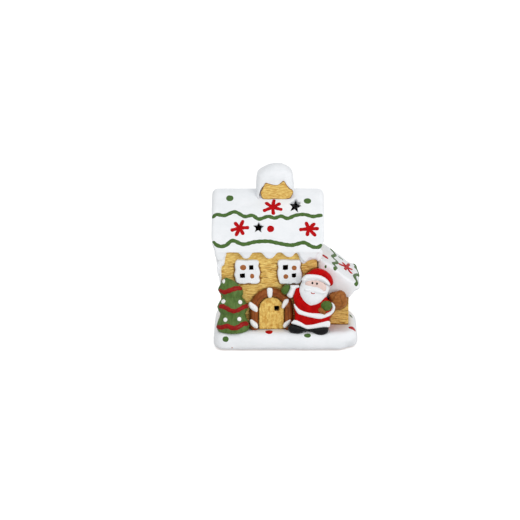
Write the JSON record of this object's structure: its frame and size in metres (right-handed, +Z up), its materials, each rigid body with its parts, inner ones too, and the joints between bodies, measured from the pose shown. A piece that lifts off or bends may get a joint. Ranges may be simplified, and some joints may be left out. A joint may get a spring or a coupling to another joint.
{
  "type": "led gingerbread house decoration",
  "caption": "Small fired-clay gingerbread house under painted snow, lit from inside by a coin-cell lamp unit that pushes into its base.",
  "frame": {"origin": "on the surface that the house stands on, under the middle of its bounding box", "axes": "+Z up, the front wall with the door faces -Y, +X to the right where the wing and the figure stand"},
  "size_m": [0.1296, 0.096, 0.1568],
  "materials": {
    "snow_glaze": "matt white paint over fired clay",
    "gingerbread_clay": "scored clay, ochre stain with a brown wash",
    "chocolate_clay": "brown paint, satin",
    "icing_paint": "thick white paint, satin",
    "fir_green_paint": "green paint, satin",
    "mitten_green_paint": "green paint, satin",
    "coat_red_paint": "red enamel, gloss",
    "skin_paint": "matt paint",
    "boot_black_paint": "black enamel, gloss",
    "sack_brown_paint": "brown paint, matt",
    "white_plastic": "moulded, fine spark texture",
    "black_plastic": "moulded",
    "circuit_board_green": "solder mask, satin",
    "silicone_grip": "moulded silicone, matt",
    "foam_pad": "cut foam, matt",
    "resistor_body": "dipped",
    "lamp_epoxy": "clear cast epoxy",
    "nickel_plate": "nickel plated, satin",
    "spring_steel": "plated strip, satin"
  },
  "bodies": {
    "house": {"base_plinth": "snow_glaze", "main_roof": "snow_glaze", "chimney_snow": "snow_glaze", "wing_roof": "snow_glaze", "window_left": "snow_glaze", "window_right": "snow_glaze", "santa_head": "snow_glaze", "cuff_raised": "snow_glaze", "cuff_holding": "snow_glaze", "house_walls": "gingerbread_clay", "chimney_stack": "gingerbread_clay", "wing_walls": "gingerbread_clay", "door_panel": "gingerbread_clay", "door_arch": "chocolate_clay", "icing_bar_1": "icing_paint", "icing_bar_2": "icing_paint", "icing_bar_3": "icing_paint", "icing_bar_4": "icing_paint", "icing_bar_5": "icing_paint", "fir_tree": "fir_green_paint", "mitten_raised": "mitten_green_paint", "mitten_holding": "mitten_green_paint", "santa_coat": "coat_red_paint", "santa_hat": "coat_red_paint", "santa_face": "skin_paint", "santa_boots": "boot_black_paint", "gift_sack": "sack_brown_paint", "sack_mouth": "sack_brown_paint", "pad_front_left": "foam_pad", "pad_front_right": "foam_pad", "pad_back_right": "foam_pad", "pad_back_left": "foam_pad"},
    "light_unit": {"unit_base": "white_plastic", "unit_housing": "white_plastic", "grip_ring": "silicone_grip", "circuit_board": "circuit_board_green", "led_lamp": "lamp_epoxy", "resistor": "resistor_body", "coin_cell": "nickel_plate", "contact_spring": "spring_steel", "positive_clip": "spring_steel", "switch_body": "nickel_plate", "unit_screw_1": "nickel_plate", "unit_screw_2": "nickel_plate"},
    "battery_cover": {"battery_cover": "white_plastic"},
    "switch_knob": {"switch_knob": "black_plastic"}
  },
  "joints": [
    {"name": "light_unit_pull", "type": "slide", "parent": "house", "child": "light_unit", "axis": [0, 0, -1], "range_m": [0, 0.04]},
    {"name": "battery_cover_turn", "type": "hinge", "parent": "light_unit", "child": "battery_cover", "pos_m": [-0.015, 0, 0.0015], "axis": [0, 0, 1], "range_deg": [0, 50]},
    {"name": "switch_slide", "type": "slide", "parent": "light_unit", "child": "switch_knob", "axis": [0, 1, 0], "range_m": [0, 0.002]}
  ]
}
